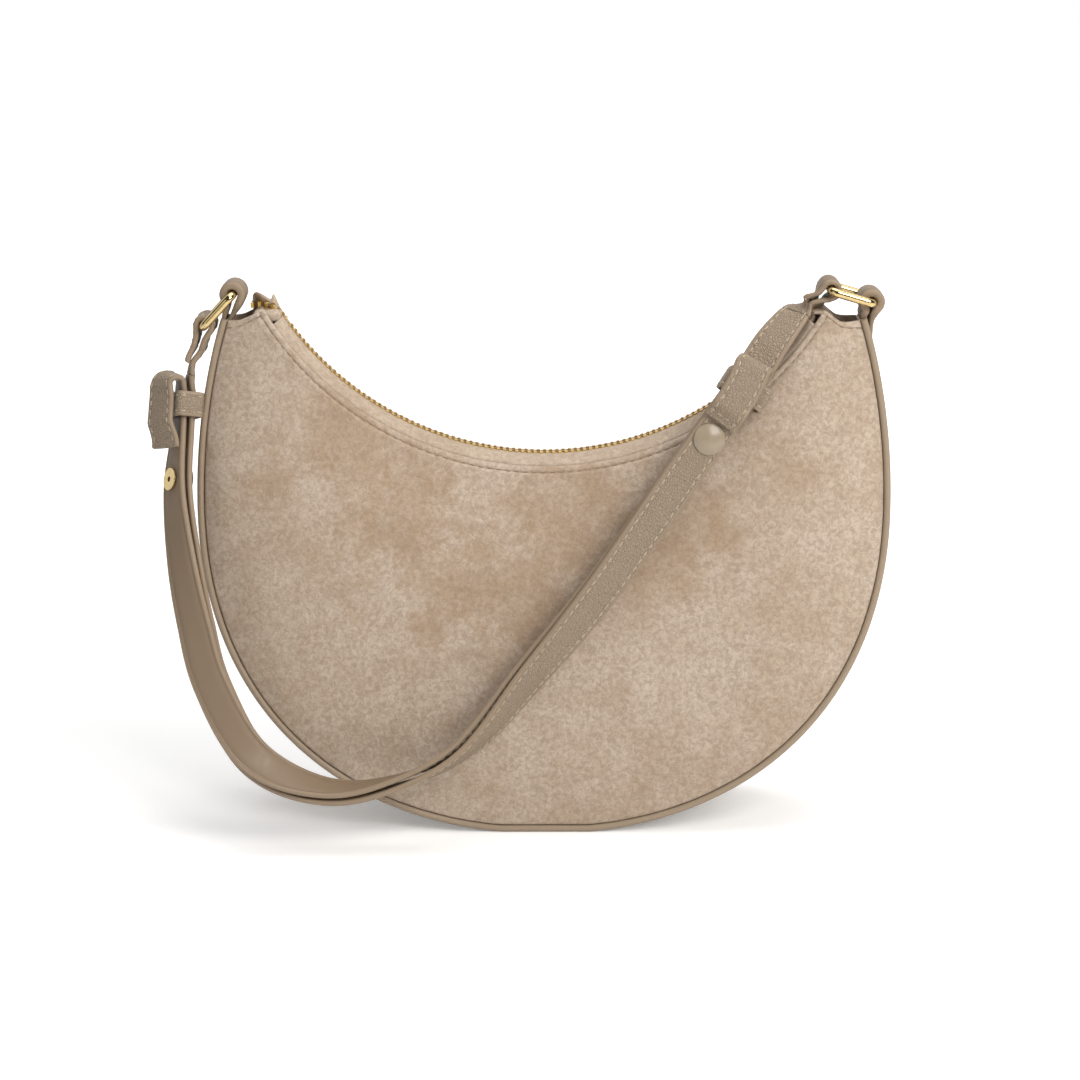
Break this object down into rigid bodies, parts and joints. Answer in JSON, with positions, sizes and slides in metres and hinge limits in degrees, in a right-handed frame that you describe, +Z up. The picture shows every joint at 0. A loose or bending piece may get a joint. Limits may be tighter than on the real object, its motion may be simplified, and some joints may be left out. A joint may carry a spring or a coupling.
{
  "type": "half moon bag",
  "caption": "Half moon shoulder bag: crescent velvet shell with leather trim, curved top zip, rectangular gold rings and a doubled leather strap with keepers and snaps",
  "frame": {"origin": "centre of the small flat foot under the bag, at floor level, midway between the two panels", "axes": "X runs across the bag to its right as seen from the front, the front faces -Y, Z is up out of the foot"},
  "size_m": [0.2944, 0.0878, 0.2245],
  "materials": {
    "velvet": "short crushed pile, warm beige, brushed darker in patches",
    "leather": "fine pebbled grain, olive taupe, satin",
    "lining": "plain woven lining, dull brown",
    "board": "stiff bottom sheet",
    "gold": "pale gold plating, polished",
    "enamel": "smooth taupe coating on the snap caps"
  },
  "bodies": {
    "bag": {"front_panel": "velvet", "back_panel": "velvet", "front_lining": "lining", "back_lining": "lining", "gusset": "leather", "gusset_lining": "lining", "front_piping": "leather", "back_piping": "leather", "base_stiffener": "board", "inner_pocket": "lining", "zip_tape_front": "velvet", "zip_tape_back": "velvet", "zip_teeth_front": "gold", "zip_teeth_back": "gold", "zip_bottom_stop": "gold", "zip_top_stops": "gold", "zip_end_left": "velvet", "zip_end_right": "velvet", "left_tab": "leather", "right_tab": "leather", "left_neck": "leather", "right_neck": "leather"},
    "slider": {"zip_slider": "gold"},
    "puller": {"zip_puller": "gold"},
    "left_ring": {"left_ring": "gold", "left_strap_end": "leather"},
    "right_ring": {"right_ring": "gold", "right_strap_end": "leather"},
    "strap": {"strap_outer": "leather", "strap_inner": "leather", "left_snap_cap": "enamel", "left_snap_socket": "gold", "left_snap_stud": "gold", "right_snap_cap": "enamel", "right_snap_socket": "gold", "right_snap_stud": "gold"},
    "left_keeper": {"left_keeper": "leather"},
    "right_keeper": {"right_keeper": "leather"}
  },
  "joints": [
    {"name": "zip_slide", "type": "hinge", "parent": "bag", "child": "slider", "pos_m": [0, 0, 0.27797], "axis": [0, 1, 0], "range_deg": [0, 95]},
    {"name": "puller_swing", "type": "hinge", "parent": "slider", "child": "puller", "pos_m": [0.0828, 0, 0.19099], "axis": [0, 1, 0], "range_deg": [0, 150]},
    {"name": "left_ring_swing", "type": "hinge", "parent": "bag", "child": "left_ring", "pos_m": [-0.1235, 0, 0.2183], "axis": [0, 1, 0], "range_deg": [0, 25]},
    {"name": "right_ring_swing", "type": "hinge", "parent": "bag", "child": "right_ring", "pos_m": [0.13, 0, 0.2154], "axis": [0, 1, 0], "range_deg": [0, 25]},
    {"name": "strap_swing", "type": "hinge", "parent": "bag", "child": "strap", "pos_m": [-0.01584, 0, 0.2048], "axis": [-0.9976, 0, -0.0689], "range_deg": [0, 90], "deforming": ["left_neck", "right_neck"]},
    {"name": "left_keeper_slide", "type": "slide", "parent": "strap", "child": "left_keeper", "axis": [-0.0622, -0.3177, -0.9461], "range_m": [0, 0.003]},
    {"name": "right_keeper_slide", "type": "slide", "parent": "strap", "child": "right_keeper", "axis": [-0.5452, -0.2529, -0.7993], "range_m": [0, 0.003]}
  ]
}
